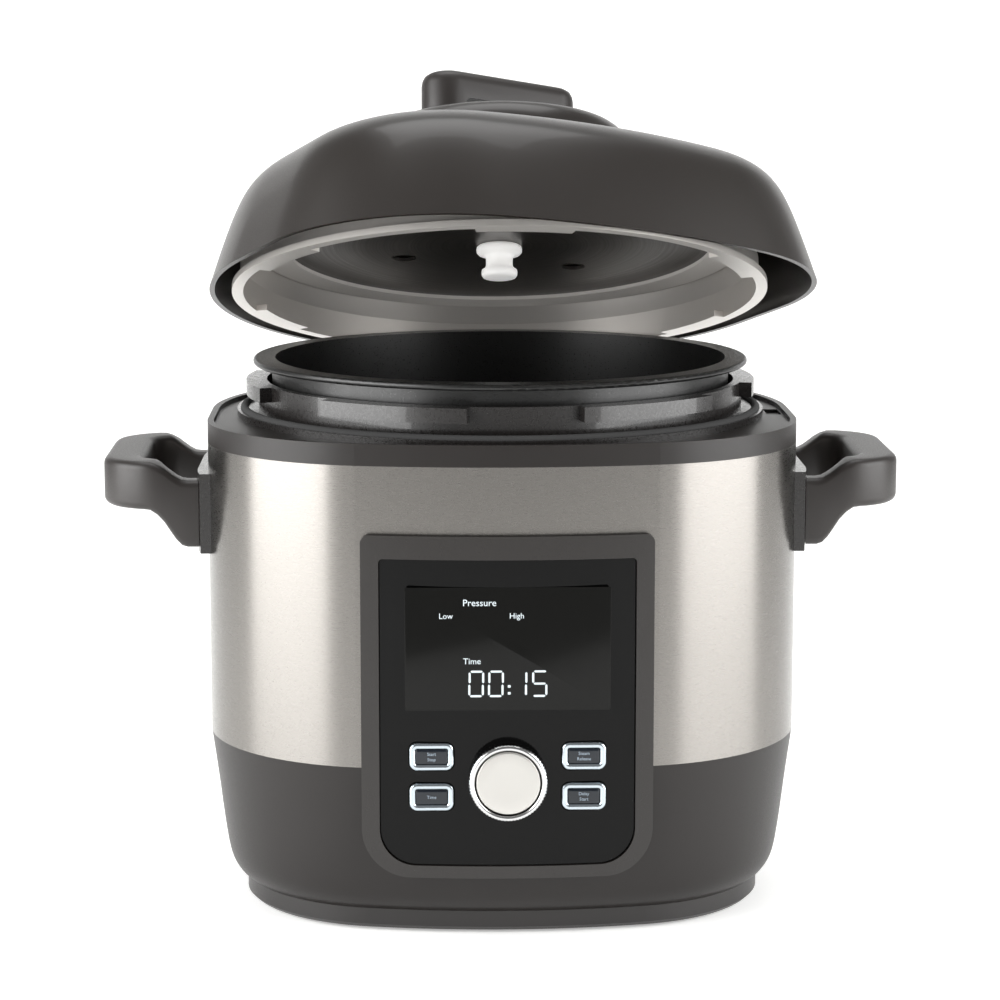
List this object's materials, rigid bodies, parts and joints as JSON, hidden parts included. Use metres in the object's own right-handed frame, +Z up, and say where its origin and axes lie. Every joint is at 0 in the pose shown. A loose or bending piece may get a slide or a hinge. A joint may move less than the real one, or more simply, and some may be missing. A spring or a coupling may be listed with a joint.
{
  "type": "electric pressure cooker",
  "caption": "Countertop electric pressure cooker with a raised bayonet lid, lift-out pot, side handles, control panel with push keys and a turning dial.",
  "frame": {"origin": "on the floor, under the middle of the overall box, on the axis of the inner pot", "axes": "+Z up, the control panel faces -Y, +X to the right of a user who faces the panel"},
  "size_m": [0.382, 0.292, 0.3954],
  "materials": {
    "warm_black_plastic": "fine satin grain",
    "brushed_steel": "vertical-lit, fine horizontal brushing",
    "handle_plastic": "satin",
    "black_rubber": "matt",
    "zinc_steel": "plated",
    "collar_black": "semi-gloss black enamel",
    "panel_frame": "satin",
    "panel_gloss": "polished",
    "display": "dark display glass",
    "circuit_board": "solder mask",
    "component_black": "moulded",
    "component_yellow": "taped winding",
    "component_blue": "moulded",
    "aluminium_cast": "cast, turned top",
    "aluminium_sheet": "mill finish",
    "spring_steel": "drawn wire",
    "pot_coating": "non-stick coating inside, dark grey outside",
    "stainless_satin": "satin",
    "silicone_grey": "silicone",
    "silicone_white": "silicone",
    "lid_steel_effect": "brushed",
    "key_trim": "satin silver",
    "key_dark": "polished",
    "dial_chrome": "knurled chrome",
    "dial_satin": "satin",
    "brass": "plated",
    "clear_cup": "clear moulded plastic",
    "wire_sleeve": "insulated",
    "ribbon_grey": "ribbon",
    "ceramic_white": "glazed",
    "valve_plastic": "satin",
    "float_red": "enamel"
  },
  "bodies": {
    "cooker": {"base_housing": "warm_black_plastic", "bottom_plate": "collar_black", "feet": "black_rubber", "base_screws": "zinc_steel", "steel_wrap": "brushed_steel", "top_cover": "warm_black_plastic", "locking_collar": "collar_black", "collar_screws": "zinc_steel", "heat_shield": "aluminium_sheet", "heating_plate": "aluminium_cast", "plate_supports": "ceramic_white", "thermal_fuse": "component_black", "pressure_switch": "component_black", "sensor_spring": "spring_steel", "panel_bezel": "panel_frame", "panel_lens": "panel_gloss", "lcd_module": "display", "control_board": "circuit_board", "key_switches": "component_black", "rotary_encoder": "component_black", "power_board": "circuit_board", "relay": "component_blue", "transformer": "component_yellow", "filter_capacitor": "component_yellow", "inlet_socket": "collar_black", "inlet_pins": "brass", "supply_wires": "wire_sleeve", "heater_wires": "wire_sleeve", "panel_ribbon": "ribbon_grey", "left_handle": "handle_plastic", "right_handle": "handle_plastic", "left_handle_plate": "collar_black", "right_handle_plate": "collar_black", "handle_screws": "zinc_steel", "cup_socket": "warm_black_plastic"},
    "pot": {"inner_pot": "pot_coating"},
    "inner_lid": {"seal_plate": "aluminium_sheet", "sealing_ring": "silicone_grey", "silicone_knob": "silicone_white", "centre_stud": "stainless_satin"},
    "lid": {"lid_shell": "lid_steel_effect", "steel_lid": "stainless_satin", "lid_cap": "warm_black_plastic", "lid_handle": "handle_plastic", "lid_screws": "zinc_steel", "valve_pipe": "stainless_satin"},
    "valve": {"steam_valve": "valve_plastic"},
    "float": {"float_pin": "float_red"},
    "dial": {"dial_ring": "dial_chrome"},
    "dial_button": {"dial_face": "dial_satin"},
    "sensor": {"temperature_sensor": "aluminium_sheet"},
    "cup": {"condensate_cup": "clear_cup"},
    "key_upper_left": {"key_trim_upper_left": "key_trim", "key_cap_upper_left": "key_dark"},
    "key_upper_right": {"key_trim_upper_right": "key_trim", "key_cap_upper_right": "key_dark"},
    "key_lower_left": {"key_trim_lower_left": "key_trim", "key_cap_lower_left": "key_dark"},
    "key_lower_right": {"key_trim_lower_right": "key_trim", "key_cap_lower_right": "key_dark"}
  },
  "joints": [
    {"name": "pot_lift", "type": "slide", "parent": "cooker", "child": "pot", "axis": [0, 0, 1], "range_m": [0, 0.17]},
    {"name": "lid_raise", "type": "hinge", "parent": "pot", "child": "inner_lid", "pos_m": [0, 0.156, 0.2345], "axis": [1, 0, 0], "range_deg": [-40, 19]},
    {"name": "lid_turn", "type": "hinge", "parent": "inner_lid", "child": "lid", "pos_m": [0, 0.0085, 0.28529], "axis": [0, 0.3256, 0.9455], "range_deg": [-28, 0]},
    {"name": "steam_valve_turn", "type": "hinge", "parent": "lid", "child": "valve", "pos_m": [-0.04674, 0.03005, 0.27787], "axis": [0, 0.3256, 0.9455], "range_deg": [0, 40]},
    {"name": "float_rise", "type": "slide", "parent": "lid", "child": "float", "axis": [0, 0.3256, 0.9455], "range_m": [0, 0.005]},
    {"name": "dial_turn", "type": "hinge", "parent": "cooker", "child": "dial", "pos_m": [0, -0.14, 0.0782], "axis": [0, -1, 0], "continuous": true},
    {"name": "dial_press", "type": "slide", "parent": "cooker", "child": "dial_button", "axis": [0, 1, 0], "range_m": [0, 0.001], "stiffness_N_per_m": 1200},
    {"name": "sensor_float", "type": "slide", "parent": "cooker", "child": "sensor", "axis": [0, 0, 1], "range_m": [-0.0025, 0], "stiffness_N_per_m": 800, "springref_m": 0.001, "deforming": ["sensor_spring"]},
    {"name": "cup_pull", "type": "slide", "parent": "cooker", "child": "cup", "axis": [0, 1, 0], "range_m": [0, 0.03]},
    {"name": "key_press_upper_left", "type": "slide", "parent": "cooker", "child": "key_upper_left", "axis": [0, 1, 0], "range_m": [0, 0.0008], "stiffness_N_per_m": 1000},
    {"name": "key_press_upper_right", "type": "slide", "parent": "cooker", "child": "key_upper_right", "axis": [0, 1, 0], "range_m": [0, 0.0008], "stiffness_N_per_m": 1000},
    {"name": "key_press_lower_left", "type": "slide", "parent": "cooker", "child": "key_lower_left", "axis": [0, 1, 0], "range_m": [0, 0.0008], "stiffness_N_per_m": 1000},
    {"name": "key_press_lower_right", "type": "slide", "parent": "cooker", "child": "key_lower_right", "axis": [0, 1, 0], "range_m": [0, 0.0008], "stiffness_N_per_m": 1000}
  ]
}
